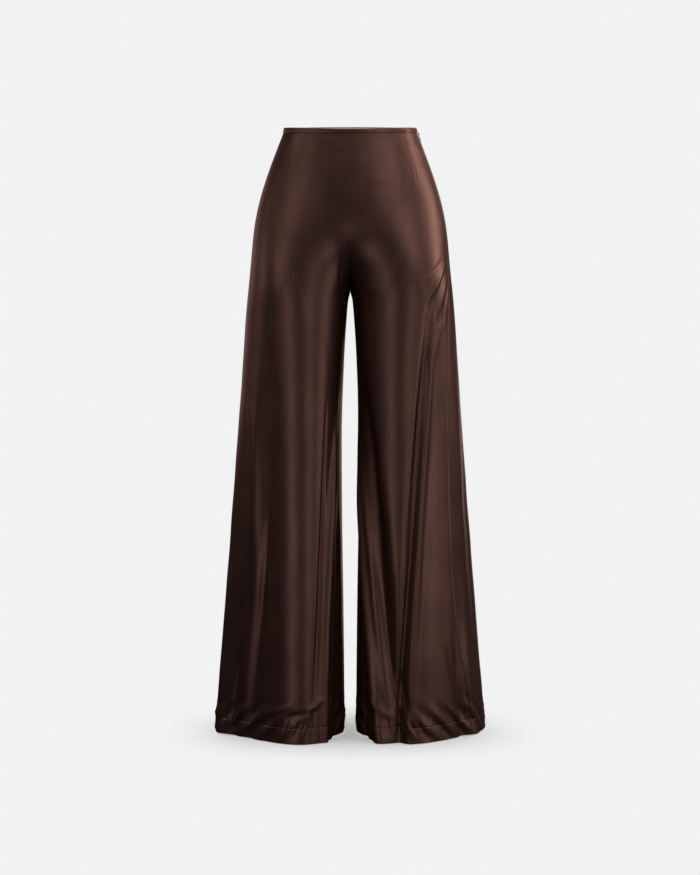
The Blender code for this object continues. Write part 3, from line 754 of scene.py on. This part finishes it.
def thicken(obj, thickness):
    """Gives a sheet its thickness inwards, with the second material on its inside."""
    solid = obj.modifiers.new("thickness", "SOLIDIFY")
    solid.thickness = thickness
    solid.offset = -1.0
    solid.material_offset = 1
    solid.material_offset_rim = 0
    obj.modifiers.new("even_shading", "WEIGHTED_NORMAL").keep_sharp = True


def dress(piece, node):
    """The piece moves with the garment and stands for a node of the frame."""
    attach(piece, "garment")
    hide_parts(node)


sample, _, _ = grid_piece((0, 1), (0, 1), lambda x, y: np.array([x, y, 0 * x]), False)
print("a grid of one face has its points at", [tuple(vert.co) for vert in sample.verts])
sample.free()

# %% Make the panels
COLUMNS = {"front": 120, "back": 90}
ROWS = 300
NEAR_SEAM = (0.003, 0.007, 0.012, 0.019)
WAIST_WIDTH = 0.18  # of a panel, for its streaks
FLARE = 0.10  # how much wider a panel is for each metre down
INSEAM_ROLL = 0.0004
DART_ROLL = 0.0006
DART_ROLL_WIDTH = 0.0011
DART_ROLL_END = 0.110  # it fades just above the dart's point
panels = {}
for leg in ("right", "left"):
    for side in ("front", "back"):
        shares = crowded(COLUMNS[side], (0.0, 1.0, DART_SHARE[side]), NEAR_SEAM)

        def place(share, row, leg=leg, side=side):
            angle = panel_angle(leg, side, share, row)
            height = row_height(math.pi, row)
            seam = side_seam(leg, height)
            to_side = np.abs(angle - seam) * round_speed(seam, height)
            inner = 0.0 if side == "front" else 2 * math.pi
            to_inner = np.abs(angle - inner) * round_speed(inner + 0.01, height)
            dart = dart_angle(leg, height, side)
            to_dart = np.abs(angle - dart) * round_speed(dart, height)
            roll = seam_roll(to_side) + seam_roll(to_inner, INSEAM_ROLL) * (row < CROTCH_HEIGHT)
            dart_roll = seam_roll(to_dart, DART_ROLL, DART_ROLL_WIDTH)
            roll = roll + dart_roll * ease_in((DART_ROLL_END + row) / 0.02)
            return cloth_point(leg, angle, row, out=-roll)

        rows = panel_rows(ROWS)
        bm, i, j = grid_piece(shares, rows, place, (side == "front") == (leg == "left"))
        width = WAIST_WIDTH + FLARE * np.clip(-rows[j], 0, 1)
        piece = finish(f"{side}_{leg}_cloth", bm, [satin_face, satin_back], (shares[i] * width, rows[j]))
        thicken(piece, SATIN)
        dress(piece, f"{side}_{leg}")
        panels[side, leg] = piece
        area = sum(face.area for face in piece.data.polygons)
        print(piece.name, len(piece.data.polygons), "faces, area", round(area, 4), "square metres")

# %% [markdown]
# Each panel's size as cut is listed and printed: the width and length that it takes up when it is laid
# flat, and its area, because a trouser leg isn't a rectangle. The backs are cut wider than the fronts,
# because the side seams lie forward of the sides.

FLAT = {"front": (0.34, 1.14, 0.29), "back": (0.48, 1.16, 0.43)}
for (side, leg), piece in panels.items():
    width, length, area = FLAT[side]
    print(piece.name, "is", width, "by", length, "m flat, and", area, "square metres")

# %% [markdown]
# ## Hems
#
# Each hem is a strip whose section is a hook: it leaves the panel's lower edge, rolls round under it and
# climbs back up inside. The strip uses the panel's own columns, so it follows every fold.

# %% Make the hems
HEM_ROLL = 0.0007  # half the thickness of the fold
HEM_CLOTH = 0.0004
HEM_WIDTH = 0.30  # of a hem, for the roll of its ends
HEM_PATTERN_WIDTH = 0.36


def hook(count):
    """The hem's section as steps out of the cloth and heights above the fold."""
    turn = np.linspace(0, math.pi, count)
    round_under = [(-HEM_ROLL + HEM_ROLL * math.cos(t), -HEM_ROLL * math.sin(t)) for t in turn]
    inside = [(-2 * HEM_ROLL, up) for up in (0.0020, 0.0060, 0.0120, 0.0180, 0.0240, 0.0280)]
    return np.array([(0.0, 0.0006)] + round_under + inside + [(-1.7 * HEM_ROLL, HEM_DEPTH)])


for side, leg in panels:
    shares = crowded(COLUMNS[side], (0.0, 1.0, DART_SHARE[side]), NEAR_SEAM)
    section = hook(7)

    def place(share, step, leg=leg, side=side, section=section):
        out, up = section[np.rint(step).astype(int)].T
        at = HEM_HEIGHT + np.maximum(up, 0.0)
        angle = panel_angle(leg, side, share, at)
        roll = seam_roll(np.minimum(share, 1 - share) * HEM_WIDTH) * (up > 0.001)
        return cloth_point(leg, angle, at, out=out - roll, rise=np.minimum(up, 0.0))

    steps = np.arange(len(section), dtype=float)
    bm, i, j = grid_piece(shares, steps, place, (side == "front") == (leg == "left"))
    ways = shares[i] * HEM_PATTERN_WIDTH, section[j][:, 1]
    hem = finish(f"hem_{side}_{leg}_cloth", bm, [satin_face, satin_back], ways)
    thicken(hem, HEM_CLOTH)
    dress(hem, f"hem_{side}_{leg}")
    print(hem.name, len(hem.data.polygons), "faces")

# %% [markdown]
# ## The bound waist
#
# The binding is one strip for the front and one for the back. Its section runs up the outside, over the
# panels' top edges and down the inside, and it is a little fuller between its edge and its stitches.
# Small dimples between the stitches keep it from looking like a moulding.

# %% Make the bindings
BINDING_SECTION = [
    (0.0002, -0.0086),
    (0.0007, -0.0083),
    (0.0008, -0.0066),
    (0.0012, -0.0040),
    (0.0011, -0.0015),
    (0.0006, 0.0002),
    (-0.0004, 0.0008),
    (-0.0014, 0.0002),
    (-0.0018, -0.0015),
    (-0.0019, -0.0045),
    (-0.0018, -0.0082),
]
BINDING_COLUMNS = 150
BINDING_CLOTH = 0.0004
BINDING_HALF = 0.17  # from the centre to the side seam
DIMPLE = 0.00012


def dimples(along):
    """Two rows of shallow waves, 9.3 and 6.1 mm long, that come and go."""
    long_wave = np.sin(along * 2 * math.pi / 0.0093 + 2.0 * np.sin(along * 37))
    short_wave = 0.6 * np.sin(along * 2 * math.pi / 0.0061)
    return DIMPLE * (long_wave + short_wave) * (0.6 + 0.4 * np.sin(along * 23 + 1.0))


for side in ("front", "back"):
    shares = np.linspace(-1, 1, 2 * BINDING_COLUMNS + 1)
    section = np.array(BINDING_SECTION)
    steps = np.arange(len(section), dtype=float)

    def place(share, step, side=side, section=section):
        out, up = section[np.rint(step).astype(int)].T
        at = np.minimum(up, 0.0)
        full = np.exp(-(((up + 0.004) / 0.003) ** 2)) * (out > 0)
        points = {}
        for leg in ("right", "left"):
            angle = panel_angle(leg, side, np.abs(share), at)
            roll = seam_roll((1 - np.abs(share)) * BINDING_HALF, 0.0006) * (out > 0)
            out_here = out + dimples(share * BINDING_HALF) * full - roll
            points[leg] = cloth_point(leg, angle, at, out_here, np.maximum(up, 0.0))
        both = np.where(share < 0, points["right"], points["left"])
        both[0] = np.where(np.abs(share) < 1e-6, 0.0, both[0])
        return both

    bm, i, j = grid_piece(shares, steps, place, side == "back")
    ways = shares[i] * BINDING_HALF, section[j][:, 1]
    binding = finish(f"waist_binding_{side}_cloth", bm, [satin_face, satin_back], ways)
    thicken(binding, BINDING_CLOTH)
    dress(binding, f"waist_binding_{side}")
print("the binding's section has", len(BINDING_SECTION), "steps")

# %% [markdown]
# ## Stitches
#
# A stitch is a small rounded bead of thread, made once from an icosphere and copied along each line of
# sewing. Every stitch lies along its line, half sunk in the cloth, and leans a little, as a sewing
# machine leaves it.

# %% Make the stitches
# Spun polyester thread: a soft sheen, and a twist that shows as light and dark grains of about 0.5 mm.
thread_material, tree, shader = new_material("polyester_thread", {"Roughness": 0.45, "Sheen Weight": 0.2})
place_in_thread = add_node(tree, "ShaderNodeTexCoord")
twist = add_node(
    tree,
    "ShaderNodeTexNoise",
    {"Vector": place_in_thread.outputs["Object"], "Scale": 2200.0, "Detail": 2.0},
)
thread_colour = add_node(
    tree,
    "ShaderNodeMix",
    {"Factor": twist.outputs["Fac"], "A": linear("#50352f"), "B": linear("#8a665f")},
    data_type="RGBA",
)
tree.links.new(thread_colour.outputs["Result"], shader.inputs["Base Color"])


def sew(name, lines, length=0.0026, pitch=0.0034, width=0.0006):
    """Stitches along each line of points, with their tops facing the directions given with it."""
    bm = bmesh.new()
    count = 0
    for line, outward in lines:
        steps = np.linalg.norm(np.diff(line, axis=0), axis=1)
        along = np.concatenate([[0.0], np.cumsum(steps)])
        for k in range(int(along[-1] / pitch)):
            at = (k + 0.5) * pitch
            spot = Vector([np.interp(at, along, line[:, axis]) for axis in range(3)])
            ahead = Vector([np.interp(at + 0.0005, along, line[:, axis]) for axis in range(3)])
            out = Vector([np.interp(at, along, outward[:, axis]) for axis in range(3)])
            way = (ahead - spot).normalized()
            side = way.cross(out).normalized()
            lean = 0.09 * math.sin(k * 1.7) + 0.10
            way = (way + side * lean).normalized()
            side = way.cross(out).normalized()
            stitch = Matrix((way * length / 2, side * width / 2, out * width / 2)).transposed().to_4x4()
            made = bmesh.ops.create_icosphere(bm, subdivisions=1, radius=1.0)
            bmesh.ops.transform(bm, matrix=Matrix.Translation(spot) @ stitch, verts=made["verts"])
            count += 1
    bmesh.ops.recalc_face_normals(bm, faces=bm.faces)
    piece = finish(name, bm, [thread_material])
    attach(piece, "garment")
    print(name, count, "stitches")


def sewing_line(leg, side, row, out, margin=0.004):
    """Points along a panel at one height, and the directions out of the cloth there."""
    share = np.linspace(margin, 1 - margin, 260)
    at = np.full(share.shape, row)
    angle = panel_angle(leg, side, share, at)
    outward, _ = directions(leg, angle, at)
    if leg == "right":
        outward = outward * np.array([[-1], [1], [1]])
    return cloth_point(leg, angle, at, out=out).T, outward.T


WAIST_STITCH_ROW = -0.0074
HEM_STITCH_OUT = -0.00005  # half sunk in the groove
WAIST_STITCH_OUT = 0.0008  # on the binding
sew("hem_stitches", [sewing_line(leg, side, HEM_STITCH_ROW, HEM_STITCH_OUT) for side, leg in panels])
sew("waist_stitches", [sewing_line(leg, side, WAIST_STITCH_ROW, WAIST_STITCH_OUT) for side, leg in panels])

# %% [markdown]
# ## The zip
#
# An invisible zip is closed with its coil on the inside. The tape is a strip of twill, the coil is a row
# of small nylon loops, and the slider is a metal body inside the cloth with an arch that comes out
# through the seam. Only the pull moves in the frame, so it rides on its own body.

# %% Materials of the zip
# Woven polyester twill: matt, with slanting ribs. Real ones are about half a millimetre apart, and these are
# drawn 1 mm apart so that they show.
tape_material, tree, shader = new_material("zip_tape_twill", {"Roughness": 0.85})
uv = add_node(tree, "ShaderNodeUVMap", uv_map="cloth")
weave = add_node(tree, "ShaderNodeMapping", {"Vector": uv.outputs["UV"], "Rotation": (0.0, 0.0, 0.79)})
ribs = add_node(
    tree, "ShaderNodeTexWave", {"Vector": weave.outputs["Vector"], "Scale": 300.0, "Distortion": 0.4}
)
tape_colour = add_node(
    tree,
    "ShaderNodeMix",
    {"Factor": ribs.outputs["Fac"], "A": linear("#2a1b17"), "B": linear("#3f2b26")},
    data_type="RGBA",
)
tree.links.new(tape_colour.outputs["Result"], shader.inputs["Base Color"])
tape_bump = add_node(
    tree,
    "ShaderNodeBump",
    {"Height": ribs.outputs["Fac"], "Strength": 0.4, "Distance": 0.0002},
)
tree.links.new(tape_bump.outputs["Normal"], shader.inputs["Normal"])

# Extruded nylon wire: smooth, with a faint cloudy grain of about a millimetre.
coil_material, tree, shader = new_material("nylon_coil", {"Roughness": 0.4})
spots = add_node(tree, "ShaderNodeTexCoord")
grain = add_node(tree, "ShaderNodeTexNoise", {"Vector": spots.outputs["Object"], "Scale": 900.0})
coil_colour = add_node(
    tree,
    "ShaderNodeMix",
    {"Factor": grain.outputs["Fac"], "A": linear("#2c1d19"), "B": linear("#473029")},
    data_type="RGBA",
)
tree.links.new(coil_colour.outputs["Result"], shader.inputs["Base Color"])

# Die-cast zinc, enamelled dark brown: glossy, with scuffs about 0.7 mm across that dull it in places.
metal_material, tree, shader = new_material("enamelled_zip_metal", {"Metallic": 0.5})
spots = add_node(tree, "ShaderNodeTexCoord")
scuffs = add_node(
    tree,
    "ShaderNodeTexNoise",
    {"Vector": spots.outputs["Object"], "Scale": 1400.0, "Detail": 4.0},
)
rough = add_node(tree, "ShaderNodeMapRange", {"Value": scuffs.outputs["Fac"], "To Min": 0.25, "To Max": 0.5})
tree.links.new(rough.outputs["Result"], shader.inputs["Roughness"])
metal_colour = add_node(
    tree,
    "ShaderNodeMix",
    {"Factor": scuffs.outputs["Fac"], "A": linear("#241814"), "B": linear("#33231e")},
    data_type="RGBA",
)
tree.links.new(metal_colour.outputs["Result"], shader.inputs["Base Color"])
print("the zip is", tape_material.name, coil_material.name, "and", metal_material.name)

# %% [markdown]
# The tape is a grid like the panels', 2.4 mm inside the face of the cloth. The coil is a row of short
# rods that reach to one side of the seam and the other in turn. Each rod is a cone whose two ends are the
# same, with only six sides, because there are so many.

# %% Make the tape and its coil
def tape_place(across, down, sink):
    """A point beside the left side seam, at a distance across it and down it, inside the cloth."""
    height = row_height(math.pi, down)
    seam = side_seam("left", height)
    return cloth_point("left", seam + across / round_speed(seam, height), down, out=-sink)


across_tape = np.linspace(-0.5, 0.5, 13) * ZIP_TAPE_WIDTH
down_tape = ZIP_TOP - ZIP_LENGTH * np.linspace(0, 1, 121)
bm, i, j = grid_piece(across_tape, down_tape, lambda across, down: tape_place(across, down, TAPE_SINK), True)
tape = finish("zip_tape_cloth", bm, [tape_material, tape_material], (across_tape[i], down_tape[j]))
thicken(tape, TAPE_CLOTH)
dress(tape, "zip_tape")

COIL_PITCH = 0.0012
COIL_END = 0.006  # of bare tape at each end
COIL_WIRE = 0.0003
bm = bmesh.new()
loops = int((ZIP_LENGTH - 2 * COIL_END) / COIL_PITCH)
for k in range(loops):
    down = ZIP_TOP - COIL_END - k * COIL_PITCH
    side = 1 if k % 2 else -1
    ends = tape_place(np.array([side * 0.0006, side * 0.0026]), np.array([down, down]), COIL_SINK).T
    near, far = Vector(ends[0]), Vector(ends[1])
    made = bmesh.ops.create_cone(
        bm, cap_ends=True, segments=6, radius1=COIL_WIRE, radius2=COIL_WIRE, depth=0.0028
    )
    turn = (far - near).to_track_quat("Z", "Y").to_matrix().to_4x4()
    bmesh.ops.transform(bm, matrix=Matrix.Translation((near + far) / 2) @ turn, verts=made["verts"])
bmesh.ops.recalc_face_normals(bm, faces=bm.faces)
coil = finish("zip_coil", bm, [coil_material])
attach(coil, "garment")
print("coil of", loops, "loops")

# %% [markdown]
# The slider is four boxes with bevelled edges: the body inside the cloth, two posts that come out through
# the seam, and a bar that joins them into an arch.

# %% Make the slider
def slider_frame():
    """The slider's place in the left side seam: x runs round the waist, y out of the cloth, and z up it."""
    seam = side_seam("left", row_height(math.pi, SLIDER_ROW))
    out, up = (Vector(way) for way in directions("left", seam, SLIDER_ROW))
    turn = Matrix((out.cross(up), out, up)).transposed().to_4x4()
    return Matrix.Translation(cloth_point("left", seam, SLIDER_ROW)) @ turn


def add_box(bm, low, high, bevel, segments=2):
    """A box between two corners, with rounded edges."""
    made = bmesh.ops.create_cube(bm, size=1.0)
    low, high = Vector(low), Vector(high)
    bmesh.ops.scale(bm, verts=made["verts"], vec=high - low)
    bmesh.ops.translate(bm, verts=made["verts"], vec=(low + high) / 2)
    edges = list({edge for vert in made["verts"] for edge in vert.link_edges})
    bmesh.ops.bevel(
        bm, geom=edges, offset=bevel, segments=segments, profile=0.5, affect="EDGES", material=-1
    )


SliderBlock = namedtuple("SliderBlock", "name low high bevel")
SLIDER_BLOCKS = [
    SliderBlock("body", (-0.00275, -0.0056, -0.0060), (0.00275, -0.0036, 0.0026), 0.0005),
    SliderBlock("upper post", (-0.0008, -0.0038, 0.0015), (0.0008, 0.0029, 0.0022), 0.0002),
    SliderBlock("lower post", (-0.0008, -0.0038, -0.0022), (0.0008, 0.0029, -0.0015), 0.0002),
    SliderBlock("bar", (-0.0008, 0.0022, -0.0022), (0.0008, 0.0030, 0.0022), 0.00035),
]
bm = bmesh.new()
for block in SLIDER_BLOCKS:
    add_box(bm, block.low, block.high, block.bevel)
bmesh.ops.transform(bm, matrix=slider_frame(), verts=bm.verts)
slider = finish("zip_slider_metal", bm, [metal_material])
dress(slider, "zip_slider")
print(slider.name, "made of", [block.name for block in SLIDER_BLOCKS])

# %% [markdown]
# The pull is a flat plate with a narrow middle and a window, which the slider's arch passes through. It
# starts as a grid of a few faces, which is shaped by its outline, opened, made thick and bevelled.

# %% Make the pull
PULL_THICKNESS = 0.0009
PULL_BEVEL = 0.00018
PULL_OUTLINE = [  # height and half the width, from the bar down
    (0.0005, 0.0022),
    (-0.0005, 0.0022),
    (-0.0040, 0.0021),
    (-0.0065, 0.0018),
    (-0.0100, 0.0022),
    (-0.0130, 0.0024),
    (-0.0150, 0.0015),
]
bm = bmesh.new()
bmesh.ops.create_grid(bm, x_segments=3, y_segments=6, size=0.5)
for vert in bm.verts:
    height, half = PULL_OUTLINE[round((0.5 - vert.co.y) * 6)]
    across = vert.co.x * 2
    x = half * across if abs(across) > 0.9 else half * 0.5 * (1 if across > 0 else -1)
    vert.co = (x, PULL_PIVOT - PULL_THICKNESS / 2, height)
middles = {face: face.calc_center_median() for face in bm.faces}
window = [face for face, middle in middles.items() if abs(middle.x) < 1e-5 and -0.004 < middle.z < -0.0005]
bmesh.ops.delete(bm, geom=window, context="FACES")
made = bmesh.ops.extrude_face_region(bm, geom=bm.faces[:])
moved = [v for v in made["geom"] if isinstance(v, bmesh.types.BMVert)]
bmesh.ops.translate(bm, verts=moved, vec=(0, PULL_THICKNESS, 0))
bmesh.ops.recalc_face_normals(bm, faces=bm.faces)
sharp = [edge for edge in bm.edges if edge.is_manifold and edge.calc_face_angle() > math.radians(60)]
bmesh.ops.bevel(bm, geom=sharp, offset=PULL_BEVEL, segments=2, profile=0.5, affect="EDGES", material=-1)
bmesh.ops.transform(bm, matrix=slider_frame(), verts=bm.verts)
pull = finish("zip_pull_metal", bm, [metal_material])
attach(pull, "pull")
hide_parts("zip_pull")
print(pull.name, len(pull.data.polygons), "faces")

# %% [markdown]
# ## Camera, light and floor
#
# The camera stands 3 m in front, at the height of the thighs, and looks down by a little over two
# degrees.

# %% Camera
DISTANCE = 3.0
PIXEL = 0.00188  # metres to a pixel of the 700 by 875 picture, at the side seams
EYE = -0.460
ASIDE = -0.0006
HORIZON_ROW = 374.6  # the picture's row that is level with the camera
MIDDLE_ROW = 437.5
camera = bpy.data.objects.new("camera", bpy.data.cameras.new("camera"))
bpy.context.scene.collection.objects.link(camera)
bpy.context.scene.camera = camera
camera.data.angle = 2 * math.atan(MIDDLE_ROW * PIXEL / DISTANCE)  # over the picture's longer side
camera.location = (ASIDE, -DISTANCE, EYE)
look_down = math.atan((MIDDLE_ROW - HORIZON_ROW) * PIXEL / DISTANCE)
camera.rotation_euler = (math.pi / 2 - look_down, 0, 0)
print("the camera looks down by", round(math.degrees(look_down), 2), "degrees")

# %% [markdown]
# Satin is lit by what it mirrors, so soft boxes stand all round the trousers, aimed at them. The
# strongest are above and to the right, weak ones in front and to the left give the darker side its shape,
# and three behind light the back.

# %% Light
Softbox = namedtuple("Softbox", "name place aim size power")
SOFTBOXES = [
    Softbox("top_softbox", (0.0, -0.28, 2.74), (0.0, 0.0, -0.45), (1.1, 1.1), 80),
    Softbox("right_high_softbox", (2.23, 0.39, 1.81), (0.0, 0.0, -0.45), (1.1, 1.1), 38),
    Softbox("right_softbox", (3.0, 0.53, 0.54), (0.0, 0.0, -0.45), (1.1, 1.1), 24),
    Softbox("front_right_softbox", (1.29, -2.89, -0.9), (0.0, 0.0, -0.45), (1.1, 1.1), 7),
    Softbox("front_left_softbox", (-1.29, -2.89, -0.9), (0.0, 0.0, -0.45), (1.1, 1.1), 7),
    Softbox("low_right_softbox", (2.87, -1.4, -0.73), (0.0, 0.0, -0.45), (1.1, 1.1), 8),
    Softbox("left_softbox", (-2.26, -2.04, 0.54), (0.0, 0.0, -0.45), (1.1, 1.1), 7),
    Softbox("upper_right_softbox", (1.63, -2.24, 1.15), (0.0, 0.0, -0.45), (1.1, 1.1), 9),
    Softbox("left_high_softbox", (-2.15, -0.7, 1.81), (0.0, 0.0, -0.45), (1.1, 1.1), 4),
    Softbox("left_edge_softbox", (-3.08, 0.54, 0.22), (0.0, 0.0, -0.45), (1.1, 1.1), 6),
    Softbox("back_softbox", (0.9, 2.9, 0.9), (0.0, 0.0, -0.45), (1.4, 1.4), 30),
    Softbox("back_left_softbox", (-1.8, 2.5, 0.1), (0.0, 0.0, -0.45), (1.4, 1.4), 16),
    Softbox("back_low_softbox", (1.2, 2.8, -0.9), (0.0, 0.0, -0.70), (1.1, 1.1), 16),
]
for box in SOFTBOXES:
    light = bpy.data.lights.new(box.name, "AREA")
    light.shape = "RECTANGLE"
    light.size, light.size_y = box.size
    light.energy = box.power
    lamp = bpy.data.objects.new(box.name, light)
    bpy.context.scene.collection.objects.link(lamp)
    lamp.location = box.place
    lamp.rotation_euler = (Vector(box.aim) - Vector(box.place)).to_track_quat("-Z", "Y").to_euler()
print(len(SOFTBOXES), "soft boxes,", sum(box.power for box in SOFTBOXES), "watts")

# %% [markdown]
# The room itself gives hardly any light, so the dark lows between the folds stay dark. Only the camera
# sees it as pale, as the backdrop of the picture.

# %% The room
ROOM_STRENGTH = 0.08
world = bpy.data.worlds.new("studio")
bpy.context.scene.world = world
world.use_nodes = True
tree = world.node_tree
background = tree.nodes["Background"]
background.inputs["Strength"].default_value = ROOM_STRENGTH
seen = add_node(tree, "ShaderNodeBackground", {"Color": linear("#f2f2f2"), "Strength": 1.0})
rays = add_node(tree, "ShaderNodeLightPath")
pick = add_node(
    tree,
    "ShaderNodeMixShader",
    {0: rays.outputs["Is Camera Ray"], 1: background.outputs[0], 2: seen.outputs[0]},
)
tree.links.new(pick.outputs[0], tree.nodes["World Output"].inputs["Surface"])
bpy.context.scene.view_settings.view_transform = "Standard"
print("the room shines with a strength of", ROOM_STRENGTH)

# %% [markdown]
# The floor is plain and pale, with a painted soft shadow under the hems. It shines by itself, and less where
# the cloth is near, so the lamps don't mark it. The cloth neither mirrors it nor is lit by it.

# %% Floor
FLOOR_GAP = 0.002
FLOOR_RADIUS = 40.0
SHADOW_REACH = 0.22
floor_material, tree, shader = new_material("pale_floor", {"Roughness": 0.9, "Specular IOR Level": 0.0})
# Painted shadow: the floor's glow darkens from #f2f2f2 towards #868483 where the cloth is within
# SHADOW_REACH.
near = add_node(tree, "ShaderNodeAmbientOcclusion", {"Distance": SHADOW_REACH}, samples=16)
darker = add_node(tree, "ShaderNodeMapRange", {"Value": near.outputs["AO"], "From Min": 0.0, "From Max": 0.9})
pale = add_node(
    tree,
    "ShaderNodeMix",
    {"Factor": darker.outputs["Result"], "A": linear("#868483"), "B": linear("#f2f2f2")},
    data_type="RGBA",
)
plain = add_node(tree, "ShaderNodeEmission", {"Color": pale.outputs["Result"]})
tree.links.new(plain.outputs[0], tree.nodes["Material Output"].inputs["Surface"])
bm = bmesh.new()
bmesh.ops.create_circle(bm, cap_ends=True, segments=64, radius=FLOOR_RADIUS)
floor = finish("floor", bm, [floor_material])
floor.location.z = HEM_HEIGHT - HEM_DIP - FLOOR_GAP
floor.visible_glossy = False
floor.visible_diffuse = False
print("the floor lies at", round(floor.location.z, 4), "m")
